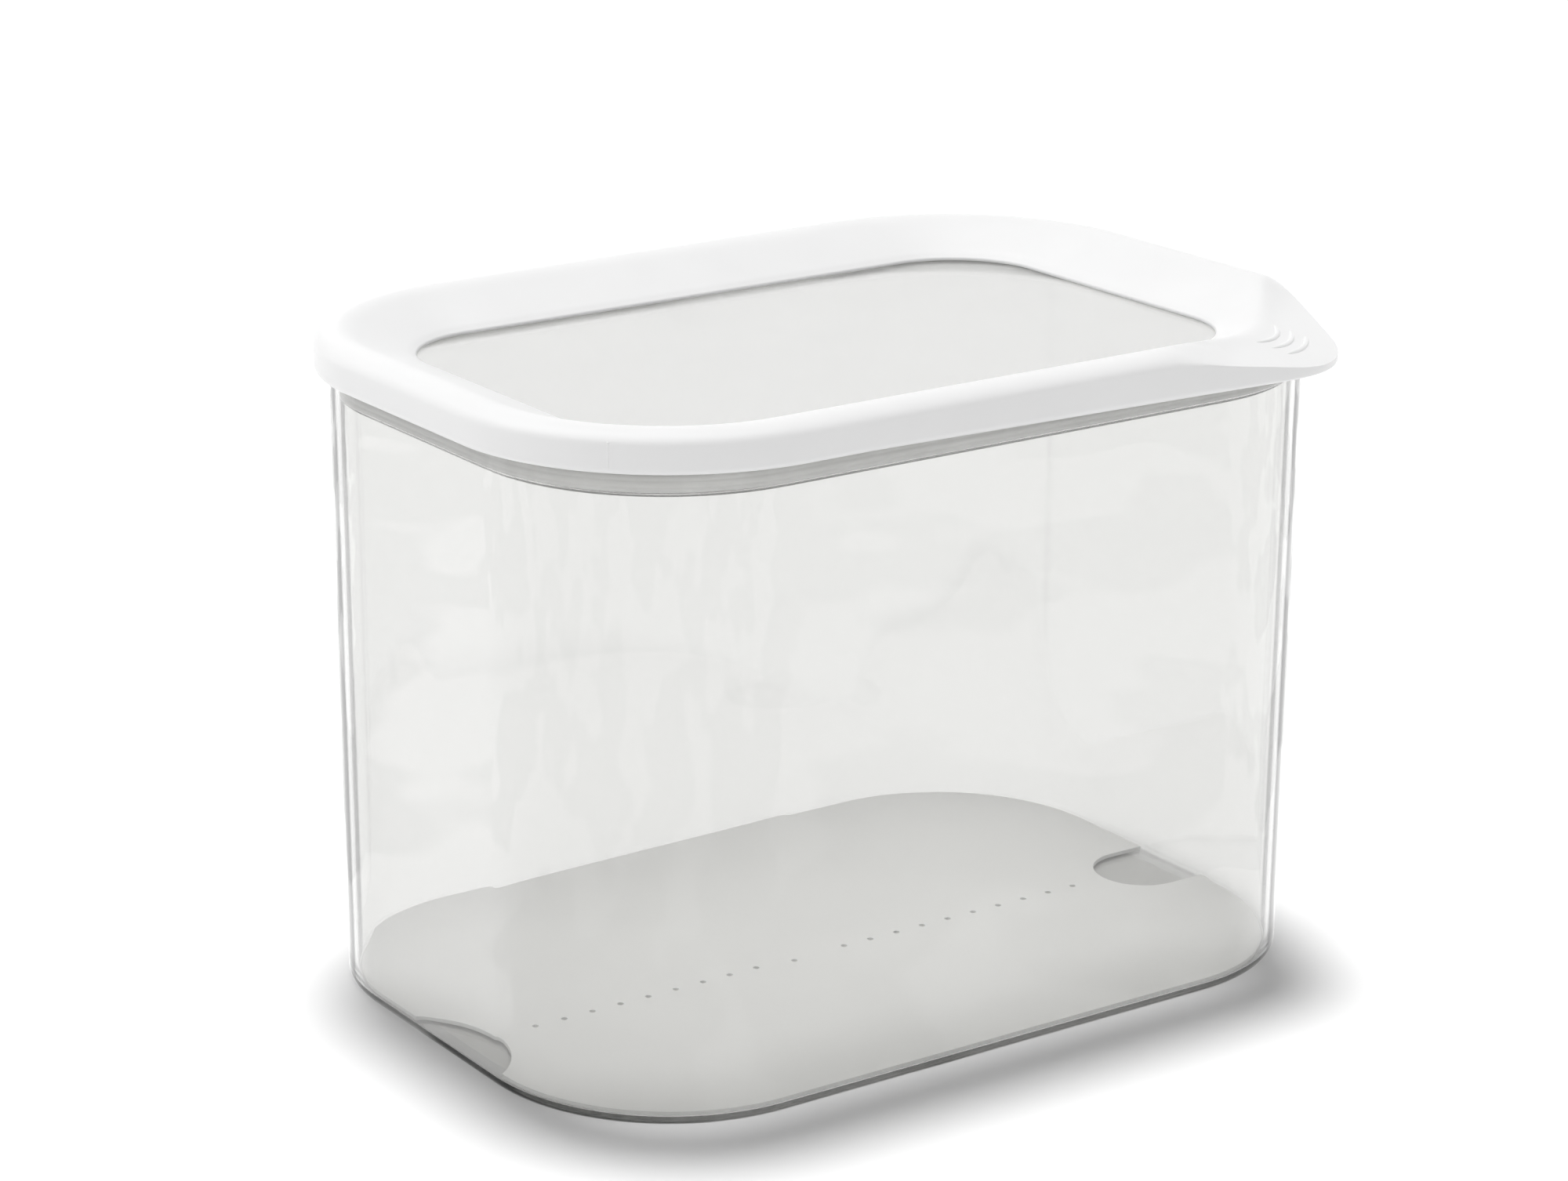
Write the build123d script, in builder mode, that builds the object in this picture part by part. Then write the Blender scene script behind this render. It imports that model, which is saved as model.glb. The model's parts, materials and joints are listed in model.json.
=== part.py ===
from build123d import *
import math
import os

# A clear food storage box with a white press-on lid, in millimetres.
# The box stands on Z = 0 with its long side along X, and the middle of its foot is the origin.

# Clear tub, measured outside at its mouth
tub_length = 273.0
tub_width = 190.6
tub_corner = 60.0
tub_height = 192.8
tub_wall = 2.6
tub_floor = 2.2
tub_draft = 0.6
foot_round = 2.4
inner_foot_round = 0.8
mouth_round = 0.8

# White lid frame: its skirt stands outside the tub, its crown dips towards the window
skirt_overhang = 5.4
skirt_wall = 2.2
skirt_drop = 2.8
skirt_round = 1.8
crown_rise = 8.8
crown_round = 7.0
crown_ledge = 8.8
window_inset = 32.5
window_corner = 29.0
window_edge_rise = 0.6
frame_shell = 2.0
foot_ring = 2.6

# Opening tab on the front right corner, where the crown sweeps down to a thin lip
tab_round = 34.0
tab_setback = 11.0
tab_lip = 2.3
tab_slope = 0.17
tab_flat = 21.0
tab_sweep_length = 12.0
ridge_first = 9.5
ridge_pitch = 4.2
ridge_count = 3
ridge_width = 1.5
ridge_rise = 0.5
ridge_round = 21.0
ridge_reach = 13.0
ridge_foot = 0.3

# Clear inner lid: a flat window with a plug wall that hangs into the tub
window_drop = 1.7
window_sheet = 1.8
plug_clearance = 0.5
plug_depth = 9.6
plug_wall = 4.2
plug_round = 0.8

# Silicone seal in a groove round the plug
seal_clearance = 0.3
seal_height = 5.6
seal_lift = 1.2
seal_depth = 2.0
seal_fit = 0.05
seal_round = 1.1

# White perforated base sheet, with a finger notch at each short end
sheet_thickness = 1.2
sheet_clearance = 1.1
row_offset = -10.5
hole_size = 2.0
hole_pitch = 9.9
left_holes = 9
right_holes = 10
left_row_end = -107.5
right_row_start = 3.0
lone_hole_x = -16.3
lone_hole_offset = -1.1
notch_left_depth = 12.0
notch_left_width = 49.0
notch_right_depth = 27.5
notch_right_width = 30.0

# Levels and outlines that follow from the sizes above
skirt_bottom = tub_height - skirt_drop
crown_top = tub_height + crown_rise
window_edge = tub_height + window_edge_rise
window_top = window_edge - window_drop
window_under = window_top - window_sheet
plug_bottom = window_top - plug_depth
seal_bottom = plug_bottom + seal_lift
seal_top = seal_bottom + seal_height
sheet_top = tub_floor + sheet_thickness
lid_half_length = tub_length / 2 + skirt_overhang
lid_half_width = tub_width / 2 + skirt_overhang
window_length = 2 * (lid_half_length - window_inset)
window_width = 2 * (lid_half_width - window_inset)
plug_outset = -tub_wall - plug_clearance
seal_outset = -tub_wall - seal_clearance
groove_outset = seal_outset - seal_depth
overlap = 1.0
tolerance = 0.01

os.makedirs("parts", exist_ok=True)


def outline(outset, mode=Mode.ADD):
    """Draw the tub's mouth outline, grown or shrunk by the same amount on every side."""
    RectangleRounded(tub_length + 2 * outset, tub_width + 2 * outset, tub_corner + outset, mode=mode)


def window_outline(outset, mode=Mode.ADD):
    """Draw the window's outline, grown or shrunk by the same amount on every side."""
    RectangleRounded(window_length + 2 * outset, window_width + 2 * outset, window_corner + outset, mode=mode)


def wall_outset(height):
    """Give the outside of the drafted tub wall at a height, against the mouth."""
    return -tub_draft * (1 - height / tub_height)


# Clear tub
with BuildPart() as container:
    with BuildSketch(Plane.XY):
        outline(wall_outset(0))
    with BuildSketch(Plane.XY.offset(tub_height)):
        outline(0)
    loft(ruled=True)
    fillet(container.faces().sort_by(Axis.Z)[0].edges(), foot_round)
    with BuildSketch(Plane.XY.offset(tub_floor)):
        outline(wall_outset(tub_floor) - tub_wall)
    with BuildSketch(Plane.XY.offset(tub_height)):
        outline(-tub_wall)
    loft(ruled=True, mode=Mode.SUBTRACT)
    fillet(container.edges().filter_by_position(Axis.Z, tub_floor - tolerance, tub_floor + tolerance),
           inner_foot_round)
    fillet(container.faces().sort_by(Axis.Z)[-1].edges(), mouth_round)
container.part.label = "container"
export_step(container.part, "parts/container.step")

# The tab's corner: a tighter arc flush with the front side, and the line out of the corner through it
corner_x = lid_half_length - (tub_corner + skirt_overhang)
corner_y = -(lid_half_width - (tub_corner + skirt_overhang))
tab_x = lid_half_length - tab_round - tab_setback
tab_y = -(lid_half_width - tab_round)
tab_angle = math.atan2(tab_y - corner_y, tab_x - corner_x)
tab_out = Vector(math.cos(tab_angle), math.sin(tab_angle), 0)
tab_tip = Vector(tab_x, tab_y, skirt_bottom + tab_lip) + tab_out * tab_round
tab_side = tab_out.rotate(Axis.Z, 90)
tab_plane = Plane(origin=tab_tip, x_dir=-tab_out, z_dir=tab_side)

# Space above the tab: a slope rising inwards from the lip, then a round sweep up to the crown
with BuildPart() as tab_space:
    with BuildSketch(tab_plane):
        with BuildLine():
            slope_start = (-2 * tab_round, -2 * tab_round * tab_slope)
            slope_end = (tab_flat, tab_flat * tab_slope)
            sweep_end = (tab_flat + tab_sweep_length, crown_top - tab_tip.Z + overlap)
            foot = Line(slope_start, slope_end)
            rise = TangentArc([slope_end, sweep_end], tangent=foot % 1)
            Polyline(sweep_end, (slope_start[0], sweep_end[1]), slope_start)
        make_face()
    extrude(amount=4 * tab_round, both=True)

# Grip ridges on the tab: arcs round a point behind the tip, cut to the slope's height
ridge_centre = tab_tip - tab_out * (ridge_first + ridge_pitch * (ridge_count - 1) + ridge_round)
with BuildPart() as grip_ridges:
    with BuildSketch(Plane.XY.offset(tub_height + ridge_foot)):
        for index in range(ridge_count):
            radius = ridge_round + index * ridge_pitch
            with Locations((ridge_centre.X, ridge_centre.Y)):
                Circle(radius + ridge_width / 2)
                Circle(radius - ridge_width / 2, mode=Mode.SUBTRACT)
        reach = 2 * (ridge_round + ridge_count * ridge_pitch)
        turn = math.degrees(tab_angle)
        with Locations(Location((ridge_centre.X, ridge_centre.Y), turn)):
            Rectangle(reach, 2 * ridge_reach, mode=Mode.INTERSECT)
            with Locations((-reach / 2, 0)):
                Rectangle(reach, reach, mode=Mode.SUBTRACT)
    extrude(amount=crown_rise)
    add(tab_space.part.moved(Location((0, 0, ridge_rise))), mode=Mode.SUBTRACT)

# Hollow inside the crown, between the rib beside the plug and the foot round the window
with BuildPart() as crown_hollow:
    with BuildSketch(Plane.XY.offset(window_top)):
        outline(plug_outset - frame_shell)
        window_outline(foot_ring, Mode.SUBTRACT)
    extrude(amount=crown_top - window_top)
    with BuildSketch(Plane.XY.offset(crown_top - frame_shell)):
        outline(skirt_overhang - crown_ledge)
    with BuildSketch(Plane.XY.offset(window_edge - frame_shell)):
        window_outline(0)
    loft(ruled=True, mode=Mode.SUBTRACT)
    with BuildSketch(Plane.XY.offset(crown_top - frame_shell)):
        outline(skirt_overhang)
    extrude(amount=crown_rise, mode=Mode.SUBTRACT)
    add(tab_space.part.moved(Location((0, 0, -frame_shell))), mode=Mode.SUBTRACT)

# White lid frame
with BuildPart() as lid_frame:
    with BuildSketch(Plane.XY.offset(skirt_bottom)):
        outline(skirt_overhang)
        with Locations((tab_x, tab_y)):
            Circle(tab_round)
        make_hull()
    extrude(amount=crown_top - skirt_bottom)
    fillet(lid_frame.faces().sort_by(Axis.Z)[-1].edges(), crown_round)
    fillet(lid_frame.faces().sort_by(Axis.Z)[0].edges(), skirt_round)
    add(tab_space.part, mode=Mode.SUBTRACT)
    with BuildSketch(Plane.XY.offset(crown_top)):
        outline(skirt_overhang - crown_ledge)
    with BuildSketch(Plane.XY.offset(window_edge)):
        window_outline(0)
    loft(ruled=True, mode=Mode.SUBTRACT)
    with BuildSketch(Plane.XY.offset(window_top)):
        window_outline(0)
    extrude(amount=crown_rise, mode=Mode.SUBTRACT)
    with BuildSketch(Plane.XY.offset(skirt_bottom)):
        outline(skirt_overhang - skirt_wall)
    extrude(amount=window_top - skirt_bottom, mode=Mode.SUBTRACT)
    with BuildSketch(Plane.XY.offset(window_top)):
        outline(skirt_overhang - skirt_wall)
        outline(plug_outset, Mode.SUBTRACT)
    extrude(amount=tub_height - window_top, mode=Mode.SUBTRACT)
    add(grip_ridges.part)
    add(crown_hollow.part, mode=Mode.SUBTRACT)
lid_frame.part.label = "lid_frame"
export_step(lid_frame.part, "parts/lid_frame.step")

# Clear window with its plug wall
with BuildPart() as lid_window:
    with BuildSketch(Plane.XY.offset(plug_bottom)):
        outline(plug_outset)
    extrude(amount=plug_depth)
    with BuildSketch(Plane.XY.offset(plug_bottom)):
        outline(plug_outset - plug_wall)
    extrude(amount=plug_depth - window_sheet, mode=Mode.SUBTRACT)
    with BuildSketch(Plane.XY.offset(seal_bottom)):
        outline(plug_outset + overlap)
        outline(groove_outset, Mode.SUBTRACT)
    extrude(amount=seal_height, mode=Mode.SUBTRACT)
    fillet(lid_window.faces().sort_by(Axis.Z)[0].edges(), plug_round)
lid_window.part.label = "lid_window"
export_step(lid_window.part, "parts/lid_window.step")

# Silicone seal
with BuildPart() as lid_seal:
    with BuildSketch(Plane.XY.offset(seal_bottom)):
        outline(seal_outset)
    extrude(amount=seal_height)
    fillet(lid_seal.edges().group_by(Axis.Z)[0] + lid_seal.edges().group_by(Axis.Z)[-1], seal_round)
    with BuildSketch(Plane.XY.offset(seal_bottom)):
        outline(groove_outset + seal_fit)
    extrude(amount=seal_height, mode=Mode.SUBTRACT)
lid_seal.part.label = "lid_seal"
export_step(lid_seal.part, "parts/lid_seal.step")

# Perforated base sheet
sheet_outset = wall_outset(tub_floor) - tub_wall - sheet_clearance
sheet_half_length = tub_length / 2 + sheet_outset
notch_left_round = (notch_left_depth**2 + (notch_left_width / 2) ** 2) / (2 * notch_left_depth)
with BuildPart() as base_tray:
    with BuildSketch(Plane.XY.offset(tub_floor)):
        outline(sheet_outset)
        with Locations((-sheet_half_length + notch_left_depth - notch_left_round, row_offset)):
            Circle(notch_left_round, mode=Mode.SUBTRACT)
        with Locations((sheet_half_length, row_offset)):
            SlotCenterToCenter(2 * (notch_right_depth - notch_right_width / 2),
                               notch_right_width, mode=Mode.SUBTRACT)
        left_row = [(left_row_end + index * hole_pitch, row_offset) for index in range(left_holes)]
        right_row = [(right_row_start + index * hole_pitch, row_offset) for index in range(right_holes)]
        lone_hole = (lone_hole_x, row_offset + lone_hole_offset)
        with Locations(*left_row, lone_hole, *right_row):
            Circle(hole_size / 2, mode=Mode.SUBTRACT)
    extrude(amount=sheet_thickness)
base_tray.part.label = "base_tray"
export_step(base_tray.part, "parts/base_tray.step")
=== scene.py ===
"""A clear food storage box with a white press-on lid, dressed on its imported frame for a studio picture."""

import json
import math

import bmesh
import bpy
from mathutils import Matrix, Vector

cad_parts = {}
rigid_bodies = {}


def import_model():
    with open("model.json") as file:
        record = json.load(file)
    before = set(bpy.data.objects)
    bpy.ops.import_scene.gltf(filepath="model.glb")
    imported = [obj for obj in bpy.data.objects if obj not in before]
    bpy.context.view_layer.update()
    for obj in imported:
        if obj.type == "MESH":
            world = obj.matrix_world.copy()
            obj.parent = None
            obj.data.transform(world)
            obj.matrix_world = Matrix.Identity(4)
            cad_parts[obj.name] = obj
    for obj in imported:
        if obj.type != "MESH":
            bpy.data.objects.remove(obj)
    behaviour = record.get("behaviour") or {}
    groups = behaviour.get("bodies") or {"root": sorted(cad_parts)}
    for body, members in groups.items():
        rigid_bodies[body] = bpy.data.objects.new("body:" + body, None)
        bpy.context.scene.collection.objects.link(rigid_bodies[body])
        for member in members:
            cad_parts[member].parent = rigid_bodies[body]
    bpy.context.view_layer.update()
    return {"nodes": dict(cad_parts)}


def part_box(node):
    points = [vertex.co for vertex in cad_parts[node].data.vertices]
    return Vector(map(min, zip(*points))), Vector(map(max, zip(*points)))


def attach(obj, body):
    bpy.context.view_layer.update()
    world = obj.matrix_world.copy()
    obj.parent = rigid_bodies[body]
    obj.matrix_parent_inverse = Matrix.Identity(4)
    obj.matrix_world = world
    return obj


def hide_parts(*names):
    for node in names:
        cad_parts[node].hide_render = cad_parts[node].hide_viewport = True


bl_info = {
    "name": "Food Storage Box",
    "version": (1, 0, 0),
    "blender": (4, 5, 0),
    "location": "View3D > Sidebar > Storage Box",
    "description": "Builds the clear tub, the white lid, its window and seal, and the studio round them",
    "category": "Add Mesh",
}

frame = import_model()
MM = 0.001

# Where the solids say that each piece lies
TUB_LOW, TUB_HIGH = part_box("container")
FRAME_LOW, FRAME_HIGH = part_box("lid_frame")
WINDOW_LOW, WINDOW_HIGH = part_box("lid_window")
SEAL_LOW, SEAL_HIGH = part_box("lid_seal")
SHEET_LOW, SHEET_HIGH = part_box("base_tray")

# Points round one outline: steps in each corner, and steps along each side
CORNER_STEPS = 40
SIDE_STEPS = 14
STATIONS = 4 * (CORNER_STEPS + SIDE_STEPS)

# The mould's parting line stands this many steps into the front left corner
WITNESS_STATION = 2 * (CORNER_STEPS + SIDE_STEPS) + 19


def linear(code):
    """Turn an sRGB hex colour into linear values with an alpha of one."""
    values = [int(code[place : place + 2], 16) / 255 for place in (1, 3, 5)]
    return (*[v / 12.92 if v <= 0.04045 else ((v + 0.055) / 1.055) ** 2.4 for v in values], 1.0)


def length(name, default, description):
    """A size property in metres."""
    return bpy.props.FloatProperty(name=name, default=default, unit="LENGTH", precision=4, description=description)


def colour(name, default, description):
    """A colour property from an sRGB hex value."""
    return bpy.props.FloatVectorProperty(
        name=name, default=linear(default), size=4, min=0, max=1, subtype="COLOR", description=description
    )


class TubSizes(bpy.types.PropertyGroup):
    """Sizes of the clear tub."""

    corner: length("Corner", 60.0 * MM, "Outside corner radius at the mouth")
    wall: length("Wall", 2.6 * MM, "Wall thickness")
    floor: length("Floor", SHEET_LOW.z, "Floor thickness")
    draft: length("Draft", 0.6 * MM, "How far each wall leans in at the foot")
    foot_round: length("Foot round", 2.4 * MM, "Round between wall and foot")
    inner_round: length("Inner round", 0.8 * MM, "Round between wall and floor inside")
    mouth_round: length("Mouth round", 0.8 * MM, "Round on both edges of the mouth")


class LidSizes(bpy.types.PropertyGroup):
    """Sizes of the lid frame, its window and its seal."""

    skirt_wall: length("Skirt wall", 2.2 * MM, "Thickness of the skirt")
    skirt_round: length("Skirt round", 1.8 * MM, "Round on the skirt's lower edge")
    crown_round: length("Crown round", 7.0 * MM, "Round from the skirt up to the crest")
    crown_height: length("Crown height", 3.8 * MM, "Height of the round from the skirt up to the crest")
    corner_ease: length("Corner ease", 3.0 * MM, "How much rounder the lid's corners are than an even overhang")
    crown_blend: length("Crown blend", 6.0 * MM, "Stretch over which the crest turns into the dip")
    witness: length("Witness line", 0.35 * MM, "Radius of the parting line on the skirt")
    window_inset: length("Window inset", 32.5 * MM, "From the skirt's face to the window's edge")
    window_corner: length("Window corner", 29.0 * MM, "Corner radius of the window")
    window_drop: length("Window drop", 1.3 * MM, "From the rim of the opening down to the window")
    window_sheet: length("Window sheet", 1.8 * MM, "Thickness of the window")
    plug_clearance: length("Plug clearance", 0.5 * MM, "Gap between the plug and the tub wall")
    plug_wall: length("Plug wall", 4.2 * MM, "Thickness of the plug")
    plug_round: length("Plug round", 1.9 * MM, "Round on the plug's lower edges")
    groove: length("Groove", 1.75 * MM, "Depth of the seal's groove")
    bead: length("Bead", 0.55 * MM, "How far the seal's lips stand out of the seal")


class TabSizes(bpy.types.PropertyGroup):
    """Sizes of the opening tab on the front right corner."""

    round: length("Tab round", 34.0 * MM, "Radius of the tab's corner")
    setback: length("Tab setback", 11.0 * MM, "From the lid's right end to the tab's corner")
    lip: length("Lip", 2.3 * MM, "Thickness at the tip")
    slope: bpy.props.FloatProperty(name="Slope", default=0.28, description="Rise of the tab's top per length")
    sag: length("Sag", 2.4 * MM, "How far the skirt hangs lower at the tab")
    sag_level: length("Sag level", 28.0 * MM, "Distance from the tip that hangs lowest")
    sag_length: length("Sag length", 138.0 * MM, "Stretch over which the lower edge comes back up")
    flat: length("Flat", 21.0 * MM, "Length of the even slope")
    sweep: length("Sweep", 12.0 * MM, "Length of the sweep up to the crown")
    blend: length("Blend", 1.6 * MM, "Softness of the line where the tab meets the crown")
    ridge_first: length("First ridge", 9.5 * MM, "From the tip to the first grip ridge")
    ridge_pitch: length("Ridge pitch", 4.2 * MM, "From one grip ridge to the next")
    ridge_round: length("Ridge round", 21.0 * MM, "Radius of the innermost ridge's curve")
    ridge_reach: length("Ridge reach", 12.0 * MM, "Half length of a ridge")
    ridge_size: length("Ridge size", 0.9 * MM, "Radius of a ridge's section")


class Finishes(bpy.types.PropertyGroup):
    """Colours of the plastics and of the studio."""

    tub: colour("Tub", "#EDEDEC", "Tint of light that has crossed the tub's wall")
    window: colour("Window", "#EBEBEA", "Tint of light that has crossed the window")
    lid: colour("Lid", "#F7F7F7", "White of the lid frame")
    seal: colour("Seal", "#FAFAF8", "Grey of the silicone seal")
    sheet: colour("Sheet", "#FAFAF8", "White of the base sheet")
    floor: colour("Floor", "#CCCCCC", "Pale grey of the studio floor")


def settings(kind):
    """The sizes or colours of one group."""
    return getattr(bpy.context.scene, "storage_" + kind)


def arc(centre, radius, start, end, steps):
    """Profile points of an arc, from one angle to another in degrees."""
    points = []
    for step in range(steps + 1):
        angle = math.radians(start + (end - start) * step / steps)
        points.append((centre[0] + radius * math.cos(angle), centre[1] + radius * math.sin(angle)))
    return points


def outline_point(station, half_x, half_y, radius):
    """Where a station lies on a rounded rectangle, and the way straight out of it there."""
    corner, step = divmod(station % STATIONS, CORNER_STEPS + SIDE_STEPS)
    signs = ((1, 1), (-1, 1), (-1, -1), (1, -1))
    turn = 90 * corner + 90 * min(step, CORNER_STEPS) / CORNER_STEPS
    out = Vector((math.cos(math.radians(turn)), math.sin(math.radians(turn)), 0))
    centre = Vector((signs[corner][0] * (half_x - radius), signs[corner][1] * (half_y - radius), 0))
    point = centre + out * radius
    if step > CORNER_STEPS:
        signs_next = signs[(corner + 1) % 4]
        centre_next = Vector((signs_next[0] * (half_x - radius), signs_next[1] * (half_y - radius), 0))
        point = point.lerp(centre_next + out * radius, (step - CORNER_STEPS) / SIDE_STEPS)
    return point, out


def sweep(bm, profile, place, closed):
    """Extrude a ring of stations along a profile, then close it into a loop or cap both ends."""
    station = bm.verts.layers.int.get("station") or bm.verts.layers.int.new("station")
    ring = bmesh.ops.create_circle(bm, segments=STATIONS, radius=1.0)["verts"]
    for index, vert in enumerate(ring):
        vert[station] = index
        vert.co = place(index, *profile[0])
    first = edges = list({edge for vert in ring for edge in vert.link_edges})
    for row in profile[1:]:
        grown = bmesh.ops.extrude_edge_only(bm, edges=edges)["geom"]
        verts = {item for item in grown if isinstance(item, bmesh.types.BMVert)}
        edges = [edge for vert in verts for edge in vert.link_edges if edge.other_vert(vert) in verts]
        edges = list(set(edges))
        for vert in verts:
            vert.co = place(vert[station], *row)
    if closed:
        bmesh.ops.bridge_loops(bm, edges=first + edges)
    else:
        bmesh.ops.holes_fill(bm, edges=first, sides=0)
        bmesh.ops.holes_fill(bm, edges=edges, sides=0)


def finish_piece(bm, name, body, material, replaced):
    """Turn a bmesh into a smooth piece that rides on its body and stands for its solid."""
    bmesh.ops.recalc_face_normals(bm, faces=bm.faces)
    mesh = bpy.data.meshes.new(name)
    bm.to_mesh(mesh)
    bm.free()
    mesh.polygons.foreach_set("use_smooth", [True] * len(mesh.polygons))
    mesh.materials.append(material)
    piece = bpy.data.objects.new(name, mesh)
    bpy.context.scene.collection.objects.link(piece)
    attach(piece, body)
    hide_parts(replaced)
    return piece


def add_bevel(piece, width, angle):
    """Soften the piece's sharp edges."""
    bevel = piece.modifiers.new("Soft edges", "BEVEL")
    bevel.width = width
    bevel.segments = 3
    bevel.limit_method = "ANGLE"
    bevel.angle_limit = math.radians(angle)
    bevel.harden_normals = False


def add_node(tree, kind, values=None, links=None, **options):
    """Add a node with its options, its socket values and the links into it."""
    node = tree.nodes.new(kind)
    for name, value in options.items():
        setattr(node, name, value)
    for name, value in (values or {}).items():
        node.inputs[name].default_value = value
    for name, source in (links or {}).items():
        tree.links.new(source, node.inputs[name])
    return node


def new_material(name):
    """An empty node material."""
    material = bpy.data.materials.new(name)
    material.use_nodes = True
    material.node_tree.nodes.clear()
    return material, material.node_tree


def clear_styrene(name, tint, density, roughness, rim):
    """Clear styrene polymer, moulded against polished steel."""
    # It gives the eye glass-like depth, and faint cooling waves bend highlights; where the wall is seen nearly
    # edge-on, a band of painted shade darkens its tint
    material, tree = new_material(name)
    point = add_node(tree, "ShaderNodeTexCoord").outputs["Object"]
    waves = add_node(tree, "ShaderNodeTexNoise", {"Scale": 1 / (45 * MM), "Detail": 1.0}, {"Vector": point})
    haze = add_node(tree, "ShaderNodeTexNoise", {"Scale": 1 / (18 * MM), "Detail": 2.0}, {"Vector": point})
    ranged = {"From Min": 0.3, "From Max": 0.7, "To Min": roughness * 0.6, "To Max": roughness}
    dull = add_node(tree, "ShaderNodeMapRange", ranged, {"Value": haze.outputs["Fac"]})
    relief = add_node(tree, "ShaderNodeBump", {"Distance": 0.09 * MM}, {"Height": waves.outputs["Fac"]})
    # Painted shade: where the wall is seen nearly edge-on, the tint is darkened by rim in a band, for the dark lines
    # along the outline
    facing = add_node(tree, "ShaderNodeLayerWeight", {"Blend": 0.5}).outputs["Facing"]
    edge = add_node(tree, "ShaderNodeValToRGB", links={"Fac": facing})
    painted_edge_stops = edge.color_ramp.elements
    painted_edge_stops[0].position, painted_edge_stops[0].color = 0.75, tint
    painted_edge_stops[1].position, painted_edge_stops[1].color = 0.91, tint
    for place in (0.785, 0.87):
        painted_edge_stops.new(place).color = (*[channel * rim for channel in tint[:3]], 1)
    body = add_node(
        tree,
        "ShaderNodeBsdfPrincipled",
        {"Transmission Weight": 1.0, "IOR": 1.57},
        {"Base Color": edge.outputs["Color"], "Roughness": dull.outputs["Result"], "Normal": relief.outputs["Normal"]},
    )
    lamp_way = add_node(tree, "ShaderNodeBsdfTransparent", {"Color": (0.99, 0.99, 0.99, 1)})
    path = add_node(tree, "ShaderNodeLightPath")
    both = add_node(
        tree,
        "ShaderNodeMixShader",
        links={0: path.outputs["Is Shadow Ray"], 1: body.outputs["BSDF"], 2: lamp_way.outputs["BSDF"]},
    )
    depth = add_node(tree, "ShaderNodeVolumeAbsorption", {"Color": (0.5, 0.495, 0.49, 1), "Density": density})
    add_node(
        tree,
        "ShaderNodeOutputMaterial",
        links={"Surface": both.outputs["Shader"], "Volume": depth.outputs["Volume"]},
    )
    return material


def white_polypropylene(name, tint, grain, depth, roughness):
    """White polypropylene, moulded in a spark-eroded steel mould."""
    # It gives the eye a satin sheen over a very fine grain, with slow, faint clouds in the white
    material, tree = new_material(name)
    point = add_node(tree, "ShaderNodeTexCoord").outputs["Object"]
    cloud = add_node(tree, "ShaderNodeTexNoise", {"Scale": 1 / (35 * MM)}, {"Vector": point}).outputs["Fac"]
    speck = add_node(tree, "ShaderNodeTexNoise", {"Scale": 1 / grain, "Detail": 3.0}, {"Vector": point})
    ranged = {"From Min": 0.3, "From Max": 0.7, "To Min": roughness - 0.05, "To Max": roughness + 0.05}
    dull = add_node(tree, "ShaderNodeMapRange", ranged, {"Value": cloud})
    shades = add_node(tree, "ShaderNodeValToRGB", links={"Fac": cloud})
    shades.color_ramp.elements[0].position = 0.3
    shades.color_ramp.elements[0].color = (*[channel * 0.975 for channel in tint[:3]], 1)
    shades.color_ramp.elements[1].position = 0.7
    shades.color_ramp.elements[1].color = tint
    relief = add_node(tree, "ShaderNodeBump", {"Distance": depth}, {"Height": speck.outputs["Fac"]})
    soft = (1.5 * MM, 1.5 * MM, 1.5 * MM)
    body = add_node(
        tree,
        "ShaderNodeBsdfPrincipled",
        {"IOR": 1.49, "Subsurface Weight": 0.08, "Subsurface Radius": soft},
        {"Base Color": shades.outputs["Color"], "Roughness": dull.outputs["Result"], "Normal": relief.outputs[0]},
    )
    add_node(tree, "ShaderNodeOutputMaterial", links={"Surface": body.outputs["BSDF"]})
    return material


def pressed_silicone(name, tint):
    """Grey silicone rubber, pressed in a matte mould."""
    # It gives the eye a soft, dull grey that glows a little at its thin lips
    material, tree = new_material(name)
    point = add_node(tree, "ShaderNodeTexCoord").outputs["Object"]
    cloud = add_node(tree, "ShaderNodeTexNoise", {"Scale": 1 / (12 * MM)}, {"Vector": point}).outputs["Fac"]
    speck = add_node(tree, "ShaderNodeTexNoise", {"Scale": 1 / (0.6 * MM)}, {"Vector": point}).outputs["Fac"]
    shades = add_node(tree, "ShaderNodeValToRGB", links={"Fac": cloud})
    shades.color_ramp.elements[0].position = 0.3
    shades.color_ramp.elements[0].color = (*[channel * 0.93 for channel in tint[:3]], 1)
    shades.color_ramp.elements[1].position = 0.7
    shades.color_ramp.elements[1].color = tint
    relief = add_node(tree, "ShaderNodeBump", {"Distance": 0.01 * MM}, {"Height": speck})
    soft = (2 * MM, 2 * MM, 2 * MM)
    body = add_node(
        tree,
        "ShaderNodeBsdfPrincipled",
        {"IOR": 1.41, "Roughness": 0.5, "Subsurface Weight": 0.25, "Subsurface Radius": soft},
        {"Base Color": shades.outputs["Color"], "Normal": relief.outputs["Normal"]},
    )
    add_node(tree, "ShaderNodeOutputMaterial", links={"Surface": body.outputs["BSDF"]})
    return material


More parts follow.
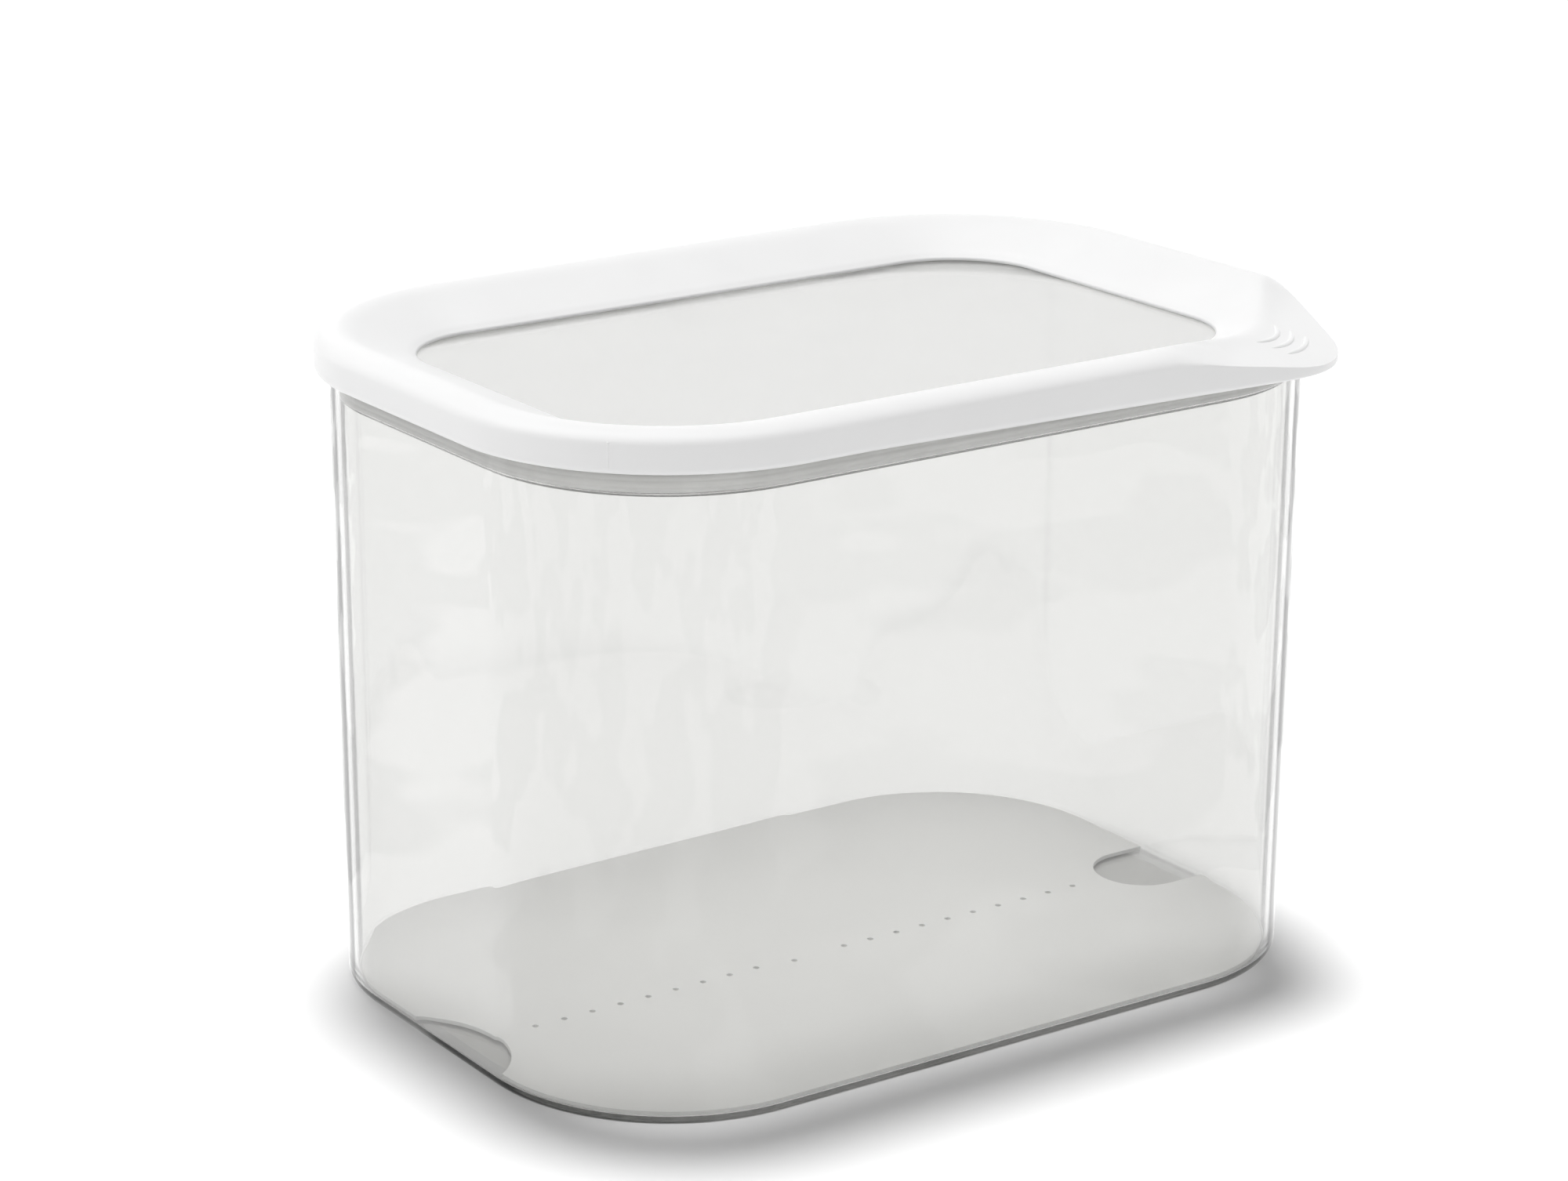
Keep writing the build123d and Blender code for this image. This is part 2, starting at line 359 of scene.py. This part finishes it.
class BuildTub(bpy.types.Operator):
    """Build the clear tub as one closed shell with a true wall thickness."""

    bl_idname = "storage.build_tub"
    bl_label = "Build Tub"

    def execute(self, context):
        """Sweep the wall's profile round the tub."""
        s = settings("tub")
        top = TUB_HIGH.z
        half_x = WINDOW_HIGH.x + s.wall + settings("lid").plug_clearance
        half_y = WINDOW_HIGH.y + s.wall + settings("lid").plug_clearance

        def place(station, inset, height):
            inset += s.draft * (1 - height / top)
            point, out = outline_point(station, half_x - inset, half_y - inset, s.corner - inset)
            return point + Vector((0, 0, height))

        hold = 2 * MM
        profile = [(s.foot_round + hold, 0)]
        profile += arc((s.foot_round, s.foot_round), s.foot_round, 270, 180, 10)
        profile += [(0, 6 * MM), (0, top / 3), (0, top * 2 / 3), (0, top - 4 * MM)]
        profile += arc((s.mouth_round, top - s.mouth_round), s.mouth_round, 180, 90, 5)
        profile += arc((s.wall - s.mouth_round, top - s.mouth_round), s.mouth_round, 90, 0, 5)
        profile += [(s.wall, top - 4 * MM), (s.wall, top * 2 / 3), (s.wall, top / 3), (s.wall, 8 * MM)]
        profile += arc((s.wall + s.inner_round, s.floor + s.inner_round), s.inner_round, 180, 270, 6)
        profile += [(s.wall + s.inner_round + hold, s.floor)]
        bm = bmesh.new()
        sweep(bm, profile, place, closed=False)
        material = clear_styrene("clear_moulded_styrene", settings("finishes").tub, 14.0, 0.02, 0.03)
        finish_piece(bm, "tub", "box", material, "container")
        return {"FINISHED"}


def tab_frame():
    """The tab's circle, its tip, the way out through it, and the corner circle it grows from."""
    s, lid_x, lid_y = settings("tab"), -FRAME_LOW.x, FRAME_HIGH.y
    corner = lid_corner()
    centre = Vector((lid_x - s.round - s.setback, -(lid_y - s.round), 0))
    corner_centre = Vector((lid_x - corner, -(lid_y - corner), 0))
    out = (centre - corner_centre).normalized()
    return centre, centre + out * s.round, out, corner_centre, corner


def tub_half():
    """Half the tub's length and width at its mouth."""
    gap = settings("tub").wall + settings("lid").plug_clearance
    return Vector((WINDOW_HIGH.x + gap, WINDOW_HIGH.y + gap))


def lid_corner():
    """Outside corner radius of the lid."""
    return settings("tub").corner + settings("lid").corner_ease - FRAME_LOW.x - tub_half().x


def tab_reach(out):
    """How far the tab stands outside the plain outline, in one direction from the corner circle's centre."""
    s = settings("tab")
    centre, tip, tab_out, corner_centre, corner = tab_frame()
    offset = centre - corner_centre
    turn, front_turn = math.atan2(out.y, out.x), -math.pi / 2
    side_turn = math.atan2(tab_out.y, tab_out.x) + math.acos((corner - s.round) / offset.length)
    if not front_turn < turn < side_turn:
        return 0.0
    for edge_turn in (front_turn, side_turn):
        touch = offset + s.round * Vector((math.cos(edge_turn), math.sin(edge_turn), 0))
        if abs(turn - edge_turn) <= abs(math.atan2(touch.y, touch.x) - edge_turn):
            return corner / math.cos(turn - edge_turn) - corner
    along = offset.dot(out)
    return along + math.sqrt(along * along - offset.length_squared + s.round * s.round) - corner


def tab_sag(point):
    """How far the skirt's lower edge hangs down at a point: most at the tab, and none on the far sides."""
    s = settings("tab")
    away = (tab_frame()[1] - Vector((point.x, point.y, 0))).length
    return s.sag * min(max(1 - (away - s.sag_level) / s.sag_length, 0.0), 1.0)


def tab_height(point):
    """Height of the tab's top over a point: an even slope from the lip, then a round sweep up to the crown."""
    s = settings("tab")
    centre, tip, tab_out, corner_centre, corner = tab_frame()
    inward = (tip - Vector((point.x, point.y, 0))).dot(tab_out)
    foot = FRAME_LOW.z - s.sag + s.lip
    beyond = inward - s.flat
    if beyond > 0:
        slant = Vector((1, s.slope)).normalized()
        chord = Vector((s.sweep, FRAME_HIGH.z + 1 * MM - foot - s.slope * s.flat))
        radius = chord.length_squared / (2 * (chord.y * slant.x - chord.x * slant.y))
        share = min((beyond + slant.y * radius) / radius, 0.98)
        return foot + s.slope * s.flat + radius * (slant.x - math.sqrt(1 - share * share))
    return foot + s.slope * inward


def soft_lower(one, two, blend):
    """The lower of two heights, with the corner between them rounded."""
    share = max(blend - abs(one - two), 0.0) / blend
    return min(one, two) - share * share * blend / 4


class BuildLidFrame(bpy.types.Operator):
    """Build the white lid frame with its skirt, dipping crown, opening tab and grip ridges."""

    bl_idname = "storage.build_lid_frame"
    bl_label = "Build Lid Frame"

    def execute(self, context):
        """Sweep the frame's section round the lid and shape the tab."""
        s, tab = settings("lid"), settings("tab")
        half_x, half_y = -FRAME_LOW.x, FRAME_HIGH.y
        low, crest = FRAME_LOW.z, FRAME_HIGH.z
        corner = lid_corner()
        roof = TUB_HIGH.z
        plate = WINDOW_HIGH.z + 0.1 * MM
        rim = WINDOW_HIGH.z + s.window_drop
        rib = half_x - WINDOW_HIGH.x
        shoulder = crest - s.crown_height

        def place(station, inset, height, kind):
            share = min(max(inset / s.window_inset, 0.0), 1.0)
            radius = corner - inset - share * (corner - s.window_inset - s.window_corner)
            point, out = outline_point(station, half_x - inset, half_y - inset, radius)
            if kind == "inside":
                return point + Vector((0, 0, height))
            sag = tab_sag(point)
            if kind == "lower edge":
                return point + Vector((0, 0, height - sag))
            point += out * tab_reach(out) * (1 - share)
            top = shoulder if kind == "skirt" else height
            lowered = soft_lower(top, tab_height(point), tab.blend)
            if kind == "crown":
                return point + Vector((0, 0, lowered))
            share = (height - low) / (top - low)
            return point + Vector((0, 0, (low - sag) * (1 - share) + lowered * share))

        rows = [(x, z, "skirt") for x, z in arc((s.skirt_round, low + s.skirt_round), s.skirt_round, 270, 180, 6)]
        rows += [(0, low + (shoulder - low) * share, "skirt") for share in (0.55, 0.75, 0.9)]
        squash = s.crown_height / s.crown_round
        crown = [
            (x, shoulder + (z - shoulder) * squash) for x, z in arc((s.crown_round, shoulder), s.crown_round, 180, 90, 14)
        ]
        start, end = s.crown_round, s.window_inset
        slope = (crest - rim) / (end - start - s.crown_blend / 2)
        for step in range(1, 7):
            along = s.crown_blend * step / 6
            crown.append((start + along, crest - slope * along * along / s.crown_blend / 2))
        base = crown[-1]
        for step in range(1, 12):
            share = step / 12
            crown.append((base[0] + (end - base[0]) * share, base[1] + (rim - base[1]) * share))
        crown += arc((end - 1.0 * MM, rim - 1.0 * MM), 1.0 * MM, 75, 0, 6)
        rows += [(x, z, "crown") for x, z in crown]
        inside = [(end, plate), (end - 4 * MM, plate), (rib + 6 * MM, plate), (rib, plate)]
        inside += [(rib, roof), (s.skirt_wall + 0.3 * MM, roof), (s.skirt_wall, roof - 0.3 * MM)]
        rows += [(x, z, "inside") for x, z in inside]
        rows += [(s.skirt_wall, low + 0.4 * MM, "lower edge"), (s.skirt_wall - 0.2 * MM, low, "lower edge")]
        bm = bmesh.new()
        sweep(bm, rows, place, closed=True)
        add_ridges(bm)
        add_witness_line(bm, half_x, half_y, corner, low, shoulder)
        material = white_polypropylene("white_satin_polypropylene", settings("finishes").lid, 0.5 * MM, 0.012 * MM, 0.36)
        piece = finish_piece(bm, "lid_frame_shell", "lid", material, "lid_frame")
        add_bevel(piece, 0.35 * MM, 50)
        return {"FINISHED"}


def add_ridges(bm):
    """Add the grip ridges: rounded bars along arcs that bulge towards the tip, with faded ends."""
    s = settings("tab")
    centre, tip, tab_out, corner_centre, corner = tab_frame()
    side = Vector((-tab_out.y, tab_out.x, 0))
    steps, around = 28, 12
    count = 3
    middle = tip - tab_out * (s.ridge_first + s.ridge_pitch * (count - 1) + s.ridge_round)
    for index in range(count):
        radius = s.ridge_round + s.ridge_pitch * index
        half_turn = s.ridge_reach / radius
        ring = bmesh.ops.create_circle(bm, segments=around, radius=1.0)["verts"]
        edges = list({edge for vert in ring for edge in vert.link_edges})
        for step in range(steps + 1):
            turn = half_turn * (2 * step / steps - 1)
            fade = math.sqrt(max(1 - abs(2 * step / steps - 1) ** 3, 0.0004))
            out = tab_out * math.cos(turn) + side * math.sin(turn)
            point = middle + out * radius
            point.z = tab_height(point) - 0.35 * s.ridge_size
            if step:
                grown = bmesh.ops.extrude_edge_only(bm, edges=edges)["geom"]
                ring = [item for item in grown if isinstance(item, bmesh.types.BMVert)]
                inside = set(ring)
                edges = list({e for v in ring for e in v.link_edges if e.other_vert(v) in inside})
            station = bm.verts.layers.int["station"]
            for place, vert in enumerate(ring):
                if not step:
                    vert[station] = place
                angle = 2 * math.pi * vert[station] / around
                section = out * math.cos(angle) + Vector((0, 0, 1)) * math.sin(angle)
                vert.co = point + section * s.ridge_size * fade
            if step in (0, steps):
                bmesh.ops.holes_fill(bm, edges=edges, sides=0)


def add_witness_line(bm, half_x, half_y, corner, low, shoulder):
    """Add the thin upright line that the mould's parting left on the front left corner of the skirt."""
    s = settings("lid")
    point, out = outline_point(WITNESS_STATION, half_x, half_y, corner)
    bottom, top = low + s.skirt_round, shoulder + 0.3 * s.crown_height
    middle = point - out * 0.6 * s.witness + Vector((0, 0, (bottom + top) / 2))
    bmesh.ops.create_cone(
        bm, cap_ends=True, segments=12, radius1=s.witness, radius2=s.witness, depth=top - bottom,
        matrix=Matrix.Translation(middle),
    )


class BuildLidWindow(bpy.types.Operator):
    """Build the clear window with the plug wall that hangs into the tub."""

    bl_idname = "storage.build_lid_window"
    bl_label = "Build Lid Window"

    def execute(self, context):
        """Sweep the plug's section and cap it with the window."""
        s, tub = settings("lid"), settings("tub")
        half_x, half_y = WINDOW_HIGH.x, WINDOW_HIGH.y
        corner = tub.corner - tub.wall - s.plug_clearance
        top, low = WINDOW_HIGH.z, WINDOW_LOW.z
        under = top - s.window_sheet

        def place(station, inset, height):
            point, out = outline_point(station, half_x - inset, half_y - inset, corner - inset)
            return point + Vector((0, 0, height))

        hold, edge = 3 * MM, 0.3 * MM
        profile = [(hold, top)] + arc((edge, top - edge), edge, 90, 180, 3)
        profile += [(0, SEAL_HIGH.z + edge), (0, SEAL_HIGH.z), (s.groove - edge, SEAL_HIGH.z), (s.groove, SEAL_HIGH.z)]
        profile += [(s.groove, SEAL_LOW.z), (s.groove - edge, SEAL_LOW.z), (edge, SEAL_LOW.z), (0, SEAL_LOW.z)]
        profile += arc((s.plug_round, low + s.plug_round), s.plug_round, 180, 270, 6)
        profile += arc((s.plug_wall - s.plug_round, low + s.plug_round), s.plug_round, 270, 360, 6)
        profile += [(s.plug_wall, under - 3 * edge)]
        profile += arc((s.plug_wall + 2 * edge, under - 2 * edge), 2 * edge, 180, 90, 4)
        profile += [(s.plug_wall + 2 * edge + hold, under)]
        bm = bmesh.new()
        sweep(bm, profile, place, closed=False)
        material = clear_styrene("clear_window_styrene", settings("finishes").window, 8.0, 0.05, 1.0)
        finish_piece(bm, "lid_window_panel", "lid", material, "lid_window")
        return {"FINISHED"}


class BuildLidSeal(bpy.types.Operator):
    """Build the silicone seal with its rounded lips."""

    bl_idname = "storage.build_lid_seal"
    bl_label = "Build Lid Seal"

    def execute(self, context):
        """Sweep the seal's lipped section round the plug."""
        s, tub = settings("lid"), settings("tub")
        half_x, half_y = SEAL_HIGH.x, SEAL_HIGH.y
        corner = tub.corner - (tub_half().x - half_x)
        low, top = SEAL_LOW.z, SEAL_HIGH.z
        back = half_x - (WINDOW_HIGH.x - s.groove) - 0.1 * MM
        lips = 3

        def place(station, inset, height):
            point, out = outline_point(station, half_x - inset, half_y - inset, corner - inset)
            return point + Vector((0, 0, height))

        tall = (top - low) / lips
        profile = [(back, low)]
        for lip in range(lips):
            for step in range(1, 10):
                share = step / 10
                bulge = math.sin(math.pi * share) ** 0.7
                profile.append((s.bead * (1 - bulge), low + tall * (lip + share)))
        profile.append((back, top))
        bm = bmesh.new()
        sweep(bm, profile, place, closed=True)
        material = pressed_silicone("grey_silicone", settings("finishes").seal)
        finish_piece(bm, "lid_seal_ring", "lid", material, "lid_seal")
        return {"FINISHED"}


class DressBaseSheet(bpy.types.Operator):
    """Give the perforated base sheet its matte white plastic."""

    bl_idname = "storage.dress_base_sheet"
    bl_label = "Dress Base Sheet"

    def execute(self, context):
        """Put the material on the solid's own mesh."""
        node = frame["nodes"]["base_tray"]
        node.data.materials.clear()
        tint = settings("finishes").sheet
        node.data.materials.append(
            white_polypropylene("white_matte_polypropylene", tint, 0.9 * MM, 0.02 * MM, 0.55)
        )
        return {"FINISHED"}


class BuildStage(bpy.types.Operator):
    """Build the white floor, the soft lights and the camera."""

    bl_idname = "storage.build_stage"
    bl_label = "Build Stage"

    def execute(self, context):
        """Set the floor, the world, the lamps and the camera."""
        build_floor()
        build_card()
        build_world()
        build_lights()
        build_camera()
        context.scene.view_settings.view_transform = "Standard"
        return {"FINISHED"}


def shown_rays(tree):
    """One for rays that show the studio itself: straight from the camera, mirrored or through clear plastic."""
    path = add_node(tree, "ShaderNodeLightPath")
    some = add_node(tree, "ShaderNodeMath", links={0: path.outputs["Is Camera Ray"], 1: path.outputs["Is Glossy Ray"]},
                    operation="MAXIMUM")
    return add_node(tree, "ShaderNodeMath", links={0: some.outputs[0], 1: path.outputs["Is Transmission Ray"]},
                    operation="MAXIMUM").outputs[0]


def mirrored_rays(tree):
    """One for rays that show the studio in a mirror, and none for those through clear plastic."""
    path = add_node(tree, "ShaderNodeLightPath")
    return add_node(
        tree,
        "ShaderNodeMath",
        links={0: path.outputs["Is Glossy Ray"], 1: path.outputs["Is Transmission Ray"]},
        operation="GREATER_THAN",
    ).outputs[0]


def stage_board(name, half, place):
    """Lay a flat board of the stage."""
    bm = bmesh.new()
    bmesh.ops.create_grid(bm, x_segments=1, y_segments=1, size=1.0, matrix=Matrix.Diagonal((*half, 1, 1)))
    mesh = bpy.data.meshes.new(name)
    bm.to_mesh(mesh)
    bm.free()
    board = bpy.data.objects.new(name, mesh)
    bpy.context.scene.collection.objects.link(board)
    board.location = place
    return board


def build_card():
    """A white card under the clear foot, behind the sheet's notches and holes."""
    card = stage_board("notch_card", (128 * MM, 24 * MM), (0, -10 * MM, -0.1 * MM))
    # Plain white card: it gives the eye the bright ground that shows in the notches
    material, tree = new_material("studio_white_card")
    body = add_node(tree, "ShaderNodeBsdfPrincipled", {"Base Color": settings("finishes").sheet, "Roughness": 0.9})
    add_node(tree, "ShaderNodeOutputMaterial", links={"Surface": body.outputs["BSDF"]})
    card.data.materials.append(material)


def build_floor():
    """A wide white floor that keeps the box's shadow."""
    floor = stage_board("floor", (6.0, 6.0), (0, 0, -0.2 * MM))
    # Matte painted board: it takes the box's shadow, and a weak glow for the camera lifts the rest to white; cloudy
    # patches of extra glow, seen only in mirrors, are painted reflections of bright panels
    material, tree = new_material("studio_matte_board")
    point = add_node(tree, "ShaderNodeTexCoord").outputs["Object"]
    cloud = add_node(tree, "ShaderNodeTexNoise", {"Scale": 7.0, "Detail": 2.0}, {"Vector": point})
    ranged = {"From Min": 0.5, "From Max": 0.53, "To Min": 0.0, "To Max": 0.35}
    mirrored_glow_patches = add_node(tree, "ShaderNodeMapRange", ranged, {"Value": cloud.outputs["Fac"]})
    panels = add_node(
        tree, "ShaderNodeMath", links={0: mirrored_glow_patches.outputs["Result"], 1: mirrored_rays(tree)}, operation="MULTIPLY"
    )
    glow = add_node(
        tree, "ShaderNodeMath", {1: 0.08}, {0: shown_rays(tree), 2: panels.outputs[0]}, operation="MULTIPLY_ADD"
    )
    board = add_node(
        tree,
        "ShaderNodeBsdfPrincipled",
        {"Base Color": settings("finishes").floor, "Roughness": 0.9, "Specular IOR Level": 0.1,
         "Emission Color": (1, 1, 1, 1)},
        {"Emission Strength": glow.outputs[0]},
    )
    add_node(tree, "ShaderNodeOutputMaterial", links={"Surface": board.outputs["BSDF"]})
    floor.data.materials.append(material)


def build_world():
    """A white surround for what shows the studio, and a paler one that lights the box."""
    world = bpy.data.worlds.new("studio")
    bpy.context.scene.world = world
    world.use_nodes = True
    tree = world.node_tree
    tree.nodes.clear()
    way = add_node(tree, "ShaderNodeTexCoord").outputs["Generated"]
    ahead = add_node(tree, "ShaderNodeVectorMath", {1: (-0.53, -0.85, 0.0)}, {0: way}, operation="DOT_PRODUCT")
    ranged = {"From Min": 0.35, "From Max": 0.95, "To Min": 0.56, "To Max": 0.1}
    dim = add_node(
        tree, "ShaderNodeMapRange", ranged, {"Value": ahead.outputs["Value"]}, interpolation_type="SMOOTHSTEP"
    )
    cloud = add_node(tree, "ShaderNodeTexNoise", {"Scale": 2.6, "Detail": 1.0}, {"Vector": way})
    ranged = {"From Min": 0.54, "From Max": 0.6, "To Min": 0.9, "To Max": 1.9}
    panels = add_node(
        tree, "ShaderNodeMapRange", ranged, {"Value": cloud.outputs["Fac"]}, interpolation_type="SMOOTHSTEP"
    )
    lit = add_node(
        tree, "ShaderNodeMix", {"B": 1.0}, {"Factor": shown_rays(tree), "A": dim.outputs["Result"]}, data_type="FLOAT"
    )
    dim = add_node(
        tree,
        "ShaderNodeMix",
        links={"Factor": mirrored_rays(tree), "A": lit.outputs["Result"], "B": panels.outputs["Result"]},
        data_type="FLOAT",
    )
    light = add_node(tree, "ShaderNodeBackground", {"Color": (1, 1, 1, 1)}, {"Strength": dim.outputs["Result"]})
    add_node(tree, "ShaderNodeOutputWorld", links={"Surface": light.outputs["Background"]})


def build_lights():
    """Broad light from above, a tighter one on the floor alone for the shadow, and fills behind clear plastic."""
    lamps = (
        ("overhead", 1.72, 70, (0.22, -0.14, -1.0), ("floor",), False),
        ("floor_key", 4.0, 11, (-0.048, -0.11, -1.0), ("floor",), True),
        ("sheet_fill", 3.9, 120, (0.0, 0.0, -1.0), ("base_tray", "notch_card"), True),
        ("seal_fill", 1.2, 60, (0.53, 0.85, -0.1), ("lid_seal_ring", "lid_window_panel"), True),
    )
    for name, power, spread, way, group, only in lamps:
        data = bpy.data.lights.new(name, "SUN")
        data.energy = power
        data.angle = math.radians(spread)
        lamp = bpy.data.objects.new(name, data)
        bpy.context.scene.collection.objects.link(lamp)
        lamp.rotation_mode = "QUATERNION"
        lamp.rotation_quaternion = Vector(way).to_track_quat("-Z", "Y")
        receivers = bpy.data.collections.new(name + "_receivers")
        lamp.light_linking.receiver_collection = receivers
        for item in bpy.context.scene.collection.objects:
            if item.type == "MESH" and (item.name in group) == only:
                receivers.objects.link(item)
        if name == "floor_key":
            blockers = bpy.data.collections.new("shadow_casters")
            lamp.light_linking.blocker_collection = blockers
            for item in bpy.context.scene.collection.objects:
                if item.type == "MESH" and item.name != "base_tray":
                    blockers.objects.link(item)


def build_camera():
    """The camera that took the photograph, worked out from the box's outlines in it."""
    photo_width, photo_height = 2000, 1507
    focal, middle_x, middle_y = 5197.4, 733.5, 807.4
    place = Vector((-676.9, -951.9, 486.7)) * MM
    forward = Vector((0.5012, 0.8068, -0.3128)).normalized()
    up = Vector((0.1752, 0.2594, 0.9497))
    right = forward.cross(up).normalized()
    up = right.cross(forward)
    data = bpy.data.cameras.new("camera")
    data.sensor_width = 36.0
    data.lens = focal / photo_width * data.sensor_width
    data.shift_x = (photo_width / 2 - middle_x) / photo_width
    data.shift_y = (middle_y - photo_height / 2) / photo_width
    camera = bpy.data.objects.new("camera", data)
    bpy.context.scene.collection.objects.link(camera)
    turn = Matrix((right, up, -forward)).transposed()
    camera.matrix_world = Matrix.Translation(place) @ turn.to_4x4()
    bpy.context.scene.camera = camera


class StoragePanel(bpy.types.Panel):
    """Lists the steps that build the box."""

    bl_idname = "VIEW3D_PT_storage"
    bl_label = "Storage Box"
    bl_space_type = "VIEW_3D"
    bl_region_type = "UI"
    bl_category = "Storage Box"

    def draw(self, context):
        """One button for each step."""
        for step in STEPS:
            self.layout.operator(step.bl_idname)


GROUPS = {"tub": TubSizes, "lid": LidSizes, "tab": TabSizes, "finishes": Finishes}
STEPS = (BuildTub, BuildLidFrame, BuildLidWindow, BuildLidSeal, DressBaseSheet, BuildStage)


def register():
    """Register the settings, the steps and the panel."""
    for name, group in GROUPS.items():
        bpy.utils.register_class(group)
        setattr(bpy.types.Scene, "storage_" + name, bpy.props.PointerProperty(type=group))
    for step in (*STEPS, StoragePanel):
        bpy.utils.register_class(step)


def unregister():
    """Take the settings, the steps and the panel away again."""
    for step in reversed((*STEPS, StoragePanel)):
        bpy.utils.unregister_class(step)
    for name, group in GROUPS.items():
        delattr(bpy.types.Scene, "storage_" + name)
        bpy.utils.unregister_class(group)


def main():
    """Build the whole box."""
    register()
    bpy.ops.storage.build_tub()
    bpy.ops.storage.build_lid_frame()
    bpy.ops.storage.build_lid_window()
    bpy.ops.storage.build_lid_seal()
    bpy.ops.storage.dress_base_sheet()
    bpy.ops.storage.build_stage()


if __name__ == "__main__":
    main()
